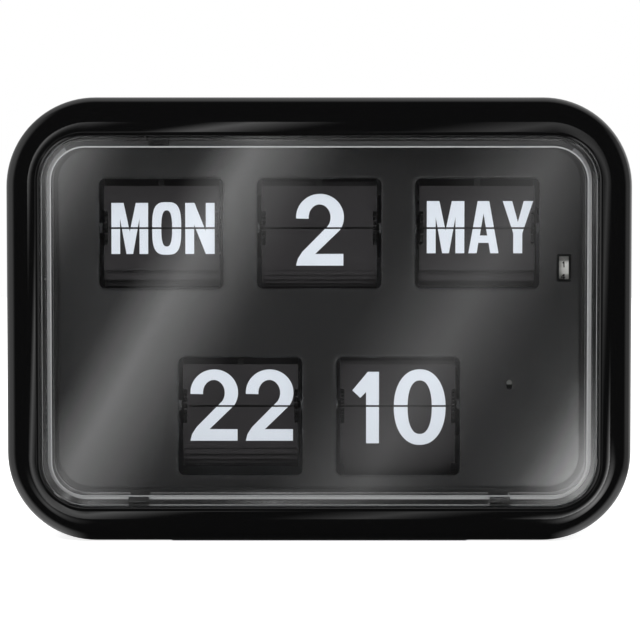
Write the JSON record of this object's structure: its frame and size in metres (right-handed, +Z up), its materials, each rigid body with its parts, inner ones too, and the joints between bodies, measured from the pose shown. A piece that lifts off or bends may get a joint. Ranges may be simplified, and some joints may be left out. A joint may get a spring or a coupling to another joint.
{
  "type": "calendar flip clock",
  "caption": "Battery flip clock in a deep rounded black case: hinged leaves show weekday, date, month, hour and minute.",
  "frame": {"origin": "centre of the footprint, on the surface the clock stands on", "axes": "+X to the right seen from the front, +Y to the back, +Z up"},
  "size_m": [0.333, 0.098, 0.237],
  "materials": {
    "case_black": "polished black moulding",
    "lens_clear": "clear acrylic",
    "dial_grey": "fine matt dark grey paint",
    "cover_black": "textured black moulding",
    "screw_steel": "zinc plated",
    "cell_wrap": "plain printed wrap",
    "contact_brass": "nickel plated strip",
    "plate_steel": "plated sheet steel",
    "pillar_brass": "turned",
    "finger_steel": "blackened spring steel",
    "motor_grey": "moulded housing",
    "gear_brass": "cut gear",
    "gear_white": "moulded acetal",
    "indicator_grey": "striped barrel",
    "control_black": "moulded black",
    "leap_white": "white moulding",
    "rocker_steel": "plated",
    "drum_black": "moulded black",
    "leaf_grey": "thin matt plastic sheet"
  },
  "bodies": {
    "clock": {"case_shell": "case_black", "front_lens": "lens_clear", "dial_plate": "dial_grey", "rear_cover": "cover_black", "rear_cover_screws": "screw_steel", "battery_cell": "cell_wrap", "battery_contacts": "contact_brass", "chassis_plate": "plate_steel", "chassis_screws": "screw_steel", "dial_pillars": "pillar_brass", "leaf_fingers": "finger_steel", "motor_case": "motor_grey", "hour_bracket": "plate_steel", "minute_bracket": "plate_steel", "weekday_bracket": "plate_steel", "date_bracket": "plate_steel", "month_bracket": "plate_steel"},
    "hour_drum": {"hour_drum": "drum_black", "hour_leaves": "leaf_grey"},
    "hour_front_leaf": {"hour_front_leaf": "leaf_grey"},
    "hour_next_leaf": {"hour_next_leaf": "leaf_grey"},
    "minute_drum": {"minute_drum": "drum_black", "minute_leaves": "leaf_grey"},
    "minute_front_leaf": {"minute_front_leaf": "leaf_grey"},
    "minute_next_leaf": {"minute_next_leaf": "leaf_grey"},
    "weekday_drum": {"weekday_drum": "drum_black", "weekday_leaves": "leaf_grey"},
    "weekday_front_leaf": {"weekday_front_leaf": "leaf_grey"},
    "weekday_next_leaf": {"weekday_next_leaf": "leaf_grey"},
    "date_drum": {"date_drum": "drum_black", "date_leaves": "leaf_grey"},
    "date_front_leaf": {"date_front_leaf": "leaf_grey"},
    "date_next_leaf": {"date_next_leaf": "leaf_grey"},
    "month_drum": {"month_drum": "drum_black", "month_leaves": "leaf_grey"},
    "month_front_leaf": {"month_front_leaf": "leaf_grey"},
    "month_next_leaf": {"month_next_leaf": "leaf_grey"},
    "motor_pinion": {"motor_pinion": "gear_brass"},
    "time_set_wheel": {"time_set_wheel": "control_black"},
    "run_indicator": {"run_indicator": "indicator_grey"},
    "carry_gear": {"carry_gear": "gear_white"},
    "leap_year_wheel": {"leap_year_wheel": "leap_white"},
    "calendar_rocker": {"calendar_rocker": "rocker_steel"},
    "battery_door": {"battery_door": "cover_black"},
    "weekday_set_button": {"weekday_set_button": "control_black"},
    "date_set_button": {"date_set_button": "control_black"},
    "month_set_button": {"month_set_button": "control_black"}
  },
  "joints": [
    {"name": "hour_step", "type": "hinge", "parent": "clock", "child": "hour_drum", "pos_m": [-0.04265, -0.00599, 0.0706], "axis": [1, 0, 0], "range_deg": [0, 15]},
    {"name": "hour_front_fall", "type": "hinge", "parent": "hour_drum", "child": "hour_front_leaf", "pos_m": [-0.04265, -0.01887, 0.0723], "axis": [1, 0, 0], "range_deg": [0, 165.01]},
    {"name": "hour_next_rise", "type": "hinge", "parent": "hour_drum", "child": "hour_next_leaf", "pos_m": [-0.04265, -0.018, 0.07557], "axis": [1, 0, 0], "range_deg": [-5.01, 0]},
    {"name": "minute_step", "type": "hinge", "parent": "clock", "child": "minute_drum", "pos_m": [0.04265, -0.00097, 0.0706], "axis": [1, 0, 0], "range_deg": [0, 6]},
    {"name": "minute_front_fall", "type": "hinge", "parent": "minute_drum", "child": "minute_front_leaf", "pos_m": [0.04265, -0.01895, 0.07154], "axis": [1, 0, 0], "range_deg": [0, 174.01]},
    {"name": "minute_next_rise", "type": "hinge", "parent": "minute_drum", "child": "minute_next_leaf", "pos_m": [0.04265, -0.01875, 0.07342], "axis": [1, 0, 0], "range_deg": [-3.01, 0]},
    {"name": "weekday_step", "type": "hinge", "parent": "clock", "child": "weekday_drum", "pos_m": [-0.0853, -0.0062, 0.1671], "axis": [1, 0, 0], "range_deg": [0, 25.71]},
    {"name": "weekday_front_fall", "type": "hinge", "parent": "weekday_drum", "child": "weekday_front_leaf", "pos_m": [-0.0853, -0.01887, 0.16999], "axis": [1, 0, 0], "range_deg": [0, 154.3]},
    {"name": "weekday_next_rise", "type": "hinge", "parent": "weekday_drum", "child": "weekday_next_leaf", "pos_m": [-0.0853, -0.01636, 0.17521], "axis": [1, 0, 0], "range_deg": [-5.01, 0]},
    {"name": "date_step", "type": "hinge", "parent": "clock", "child": "date_drum", "pos_m": [0, -0.00594, 0.1671], "axis": [1, 0, 0], "range_deg": [0, 11.61]},
    {"name": "date_front_fall", "type": "hinge", "parent": "date_drum", "child": "date_front_leaf", "pos_m": [0, -0.01887, 0.16842], "axis": [1, 0, 0], "range_deg": [0, 168.4]},
    {"name": "date_next_rise", "type": "hinge", "parent": "date_drum", "child": "date_next_leaf", "pos_m": [0, -0.01835, 0.17099], "axis": [1, 0, 0], "range_deg": [-5.01, 0]},
    {"name": "month_step", "type": "hinge", "parent": "clock", "child": "month_drum", "pos_m": [0.0853, -0.00632, 0.1671], "axis": [1, 0, 0], "range_deg": [0, 30]},
    {"name": "month_front_fall", "type": "hinge", "parent": "month_drum", "child": "month_front_leaf", "pos_m": [0.0853, -0.01887, 0.17046], "axis": [1, 0, 0], "range_deg": [0, 150.01]},
    {"name": "month_next_rise", "type": "hinge", "parent": "month_drum", "child": "month_next_leaf", "pos_m": [0.0853, -0.01551, 0.17629], "axis": [1, 0, 0], "range_deg": [-5.01, 0]},
    {"name": "motor_turn", "type": "hinge", "parent": "clock", "child": "motor_pinion", "pos_m": [0.08725, 0.00524, 0.09378], "axis": [1, 0, 0], "range_deg": [-18.01, 0]},
    {"name": "time_set_turn", "type": "hinge", "parent": "clock", "child": "time_set_wheel", "pos_m": [0.08075, 0.02903, 0.0706], "axis": [1, 0, 0], "range_deg": [-9.01, 0]},
    {"name": "run_indicator_turn", "type": "hinge", "parent": "clock", "child": "run_indicator", "pos_m": [0.10275, -0.0155, 0.0825], "axis": [1, 0, 0], "range_deg": [0, 360.1]},
    {"name": "carry_turn", "type": "hinge", "parent": "clock", "child": "carry_gear", "pos_m": [-0.00605, 0.01561, 0.0706], "axis": [1, 0, 0], "range_deg": [-30.01, 0]},
    {"name": "leap_year_turn", "type": "hinge", "parent": "clock", "child": "leap_year_wheel", "pos_m": [0.132, -0.0115, 0.1458], "axis": [1, 0, 0], "continuous": true},
    {"name": "calendar_rock", "type": "hinge", "parent": "clock", "child": "calendar_rocker", "pos_m": [0, 0.02, 0.11945], "axis": [1, 0, 0], "range_deg": [0, 5], "stiffness_Nm_per_rad": 0.01, "springref_deg": -22.92},
    {"name": "battery_door_slide", "type": "slide", "parent": "clock", "child": "battery_door", "axis": [1, 0, 0], "range_m": [0, 0.066]},
    {"name": "weekday_set_push", "type": "slide", "parent": "clock", "child": "weekday_set_button", "axis": [0, -1, 0], "range_m": [0, 0.003], "stiffness_N_per_m": 200, "springref_m": -0.002},
    {"name": "date_set_push", "type": "slide", "parent": "clock", "child": "date_set_button", "axis": [0, -1, 0], "range_m": [0, 0.003], "stiffness_N_per_m": 200, "springref_m": -0.002},
    {"name": "month_set_push", "type": "slide", "parent": "clock", "child": "month_set_button", "axis": [0, -1, 0], "range_m": [0, 0.003], "stiffness_N_per_m": 200, "springref_m": -0.002}
  ],
  "couplings": [
    {"joint": "hour_front_fall", "follows": "hour_step", "ratio": 11},
    {"joint": "hour_next_rise", "follows": "hour_step", "ratio": -0.33333},
    {"joint": "minute_front_fall", "follows": "minute_step", "ratio": 29},
    {"joint": "minute_next_rise", "follows": "minute_step", "ratio": -0.5},
    {"joint": "weekday_front_fall", "follows": "weekday_step", "ratio": 6},
    {"joint": "weekday_next_rise", "follows": "weekday_step", "ratio": -0.19444},
    {"joint": "date_front_fall", "follows": "date_step", "ratio": 14.5},
    {"joint": "date_next_rise", "follows": "date_step", "ratio": -0.43056},
    {"joint": "month_front_fall", "follows": "month_step", "ratio": 5},
    {"joint": "month_next_rise", "follows": "month_step", "ratio": -0.16667},
    {"joint": "motor_turn", "follows": "minute_step", "ratio": -3},
    {"joint": "time_set_turn", "follows": "minute_step", "ratio": -1.5},
    {"joint": "run_indicator_turn", "follows": "minute_step", "ratio": 60},
    {"joint": "carry_turn", "follows": "hour_step", "ratio": -2}
  ]
}
